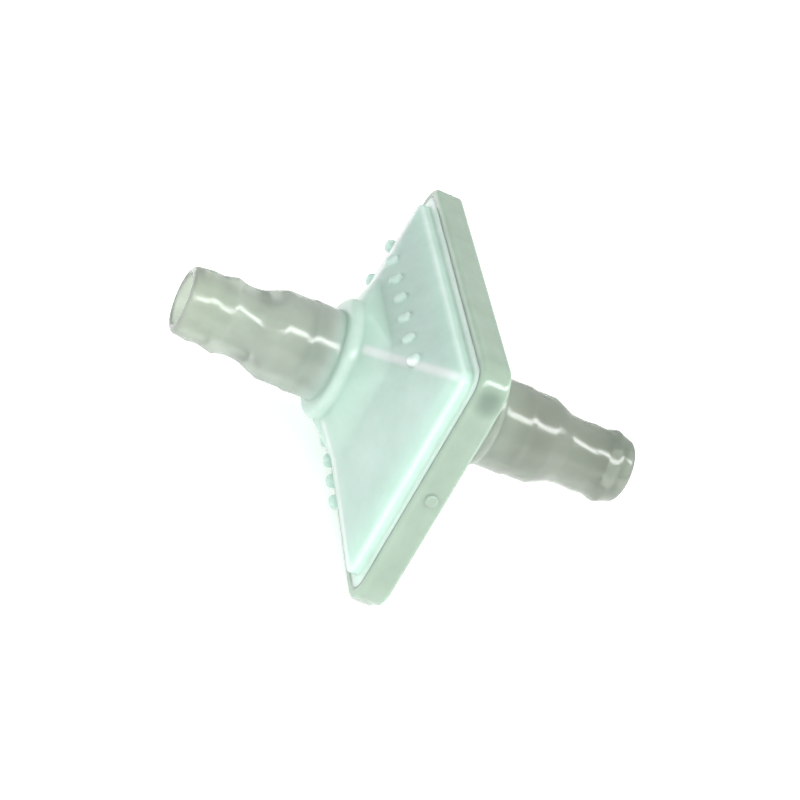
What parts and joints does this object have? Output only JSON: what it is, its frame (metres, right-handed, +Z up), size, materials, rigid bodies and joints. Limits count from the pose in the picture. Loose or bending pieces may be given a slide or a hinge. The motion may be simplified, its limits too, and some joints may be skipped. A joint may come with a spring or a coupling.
{
  "type": "in-line hose filter",
  "caption": "Translucent in-line water filter with stepped hose tails for 10 mm and 13 mm hose and a rectangular welded rim around a flat mesh screen.",
  "frame": {"origin": "on the flow axis, in the middle of the rim", "axes": "+X along the flow, from the inlet tail to the outlet tail; +Z up, square to the long side of the rim; the short sides of the rim face +Y and -Y"},
  "size_m": [0.067, 0.0566, 0.0376],
  "materials": {
    "shell_plastic": "satin",
    "grid_plastic": "satin",
    "mesh_nylon": "matte",
    "seal_rubber": "satin"
  },
  "bodies": {
    "root": {"inlet_shell": "shell_plastic", "outlet_shell": "shell_plastic", "upstream_grid": "grid_plastic", "filter_mesh": "mesh_nylon", "downstream_grid": "grid_plastic", "rim_seal": "seal_rubber"}
  },
  "joints": []
}
